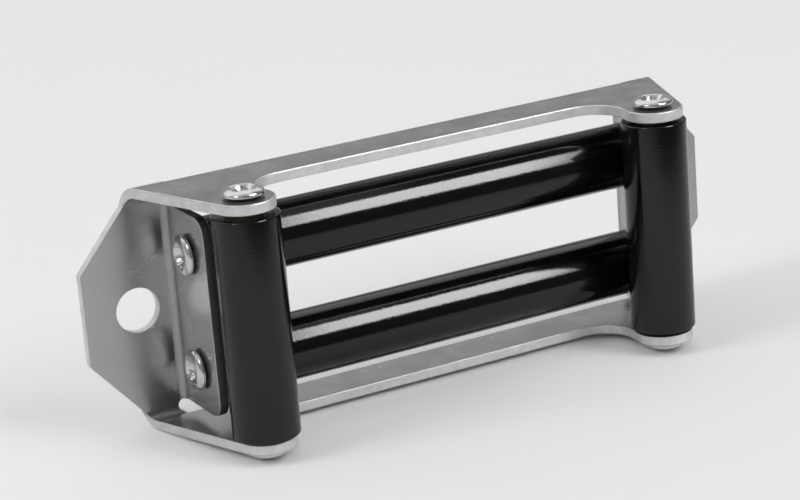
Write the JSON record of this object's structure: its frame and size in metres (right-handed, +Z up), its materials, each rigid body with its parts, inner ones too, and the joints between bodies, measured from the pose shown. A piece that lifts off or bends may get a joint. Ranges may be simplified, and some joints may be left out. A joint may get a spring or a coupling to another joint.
{
  "type": "roller fairlead",
  "caption": "Miniature roller fairlead: a bent sheet frame with upright and lying rollers that turn on screwed axles and guide a winch rope.",
  "frame": {"origin": "middle of the line through the two mounting holes, on the frame's rear face", "axes": "+X to the right along the frame, its longest way; +Y to the rear, out of the mounting face; +Z up. The rope runs along Y, and the rollers lie in front, at -Y"},
  "size_m": [0.07, 0.0152, 0.0262],
  "materials": {
    "frame_steel": "bright plated sheet with a soft polish and lighter cut edges",
    "roller_black": "black anodised, semi-gloss, finely turned",
    "axle_steel": "bright drawn steel rod",
    "bush_bronze": "plain sintered bronze",
    "screw_steel": "bright nickel plate"
  },
  "bodies": {
    "base": {"frame": "frame_steel", "left_vertical_axle": "axle_steel", "left_vertical_lower_screw": "screw_steel", "left_vertical_upper_screw": "screw_steel", "right_vertical_axle": "axle_steel", "right_vertical_lower_screw": "screw_steel", "right_vertical_upper_screw": "screw_steel", "lower_horizontal_axle": "axle_steel", "lower_horizontal_left_screw": "screw_steel", "lower_horizontal_right_screw": "screw_steel", "upper_horizontal_axle": "axle_steel", "upper_horizontal_left_screw": "screw_steel", "upper_horizontal_right_screw": "screw_steel"},
    "left_vertical": {"left_vertical_roller": "roller_black", "left_vertical_lower_bush": "bush_bronze", "left_vertical_upper_bush": "bush_bronze"},
    "right_vertical": {"right_vertical_roller": "roller_black", "right_vertical_lower_bush": "bush_bronze", "right_vertical_upper_bush": "bush_bronze"},
    "lower_horizontal": {"lower_horizontal_roller": "roller_black", "lower_horizontal_left_bush": "bush_bronze", "lower_horizontal_right_bush": "bush_bronze"},
    "upper_horizontal": {"upper_horizontal_roller": "roller_black", "upper_horizontal_left_bush": "bush_bronze", "upper_horizontal_right_bush": "bush_bronze"}
  },
  "joints": [
    {"name": "left_vertical_spin", "type": "hinge", "parent": "base", "child": "left_vertical", "pos_m": [-0.0225, -0.012, 0], "axis": [0, 0, 1], "continuous": true},
    {"name": "right_vertical_spin", "type": "hinge", "parent": "base", "child": "right_vertical", "pos_m": [0.0225, -0.012, 0], "axis": [0, 0, 1], "continuous": true},
    {"name": "lower_horizontal_spin", "type": "hinge", "parent": "base", "child": "lower_horizontal", "pos_m": [0, -0.0052, -0.0057], "axis": [1, 0, 0], "continuous": true},
    {"name": "upper_horizontal_spin", "type": "hinge", "parent": "base", "child": "upper_horizontal", "pos_m": [0, -0.0052, 0.0057], "axis": [1, 0, 0], "continuous": true}
  ]
}
